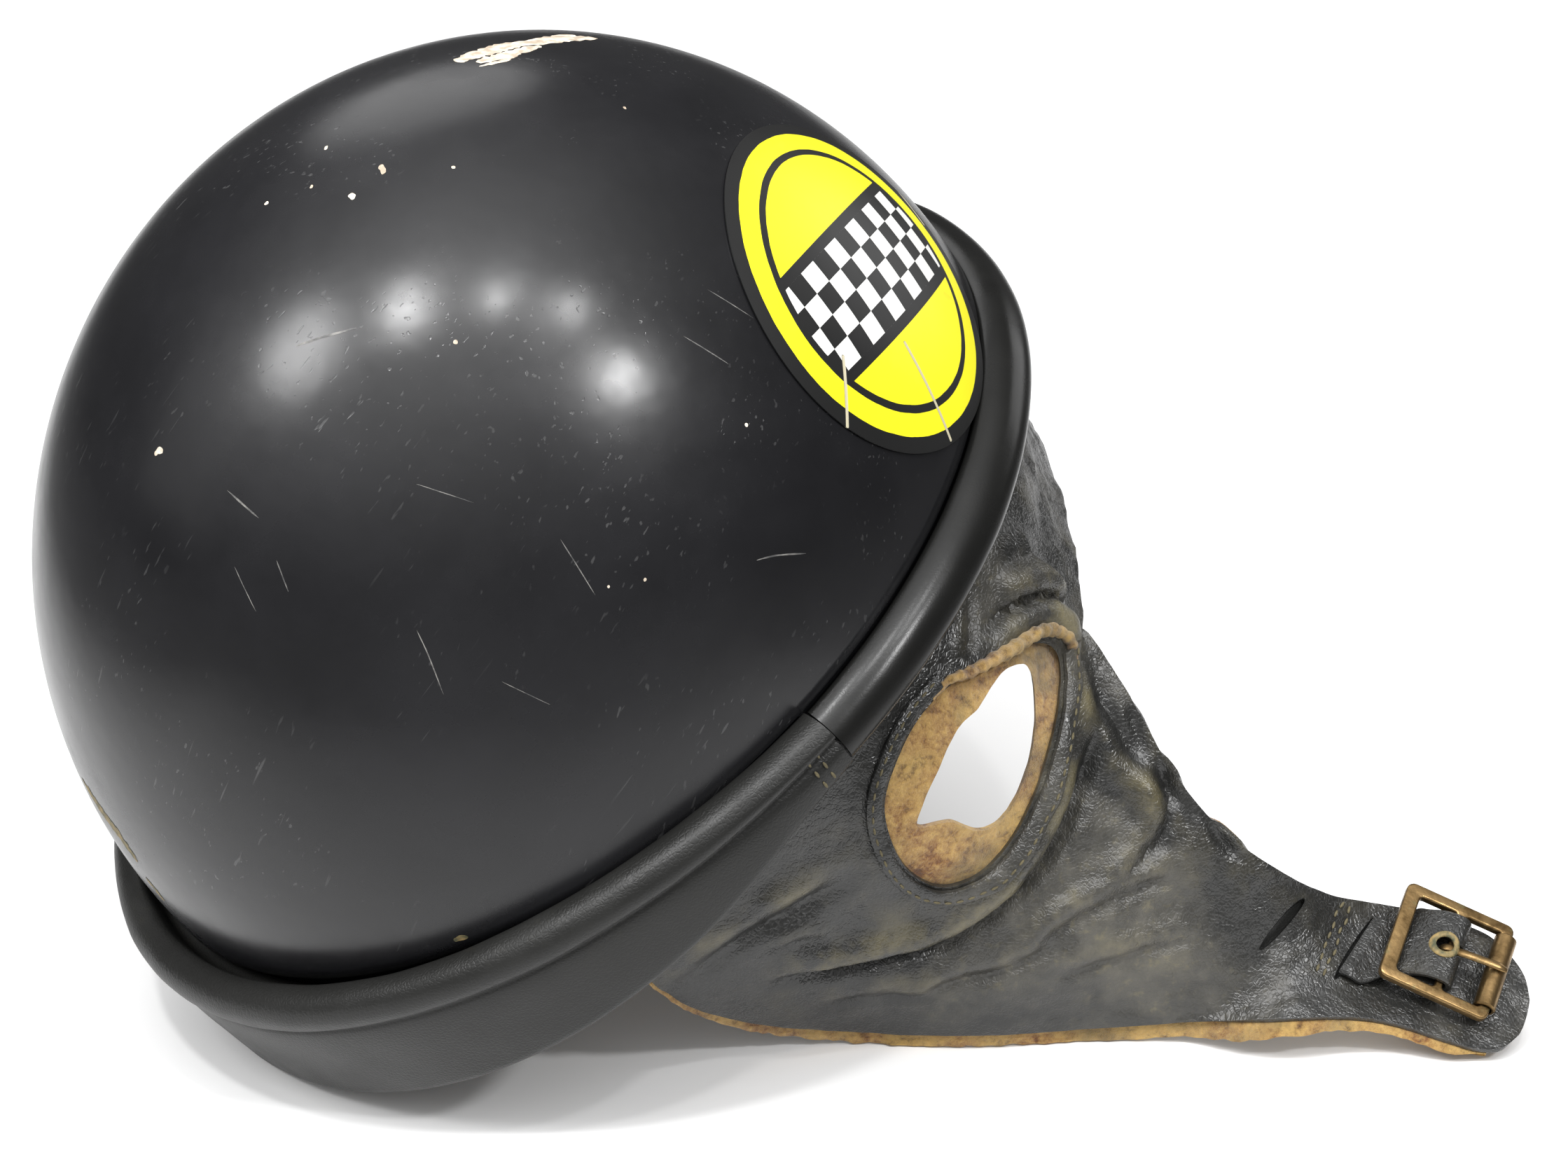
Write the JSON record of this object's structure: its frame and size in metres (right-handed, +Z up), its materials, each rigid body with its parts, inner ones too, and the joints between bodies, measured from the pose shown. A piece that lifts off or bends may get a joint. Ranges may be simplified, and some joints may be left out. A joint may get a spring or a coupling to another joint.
{
  "type": "motorcycle helmet",
  "caption": "Worn half-shell riding helmet with a rolled leather peak, back trim and leather ear flaps with a buckled chin strap, resting nose-down.",
  "frame": {"origin": "centre of the bounding box in plan, on the surface it rests on", "axes": "+Z up, +X towards the back of the helmet, -Y towards the wearer's left, whose tab carries the buckle"},
  "size_m": [0.3724, 0.4485, 0.2612],
  "materials": {
    "shell": "scuffed semi-gloss black shell",
    "peak_leather": "smooth black leather",
    "trim": "shiny black rolled trim",
    "leather": "creased, dusty black leather",
    "suede": "tan suede",
    "brass": "aged brass",
    "decal": "printed film"
  },
  "bodies": {
    "helmet": {"shell": "shell", "decal": "decal", "peak": "peak_leather", "back_trim": "trim", "near_flap": "leather", "near_flap_lining": "suede", "near_ear_welt": "leather", "far_flap": "leather", "far_flap_lining": "suede", "far_ear_welt": "leather", "nape_curtain": "leather", "buckle_strap": "leather", "buckle_frame": "brass", "far_strap": "leather"},
    "prong": {"buckle_prong": "brass"},
    "roller": {"buckle_roller": "brass"}
  },
  "joints": [
    {"name": "prong_hinge", "type": "hinge", "parent": "helmet", "child": "prong", "pos_m": [0.1216, -0.2025, 0.02383], "axis": [-0.7771, -0.4397, -0.4502], "range_deg": [0, 110]},
    {"name": "roller_spin", "type": "hinge", "parent": "helmet", "child": "roller", "pos_m": [0.12966, -0.21201, 0.01919], "axis": [0.7771, 0.4397, 0.4502], "continuous": true}
  ]
}
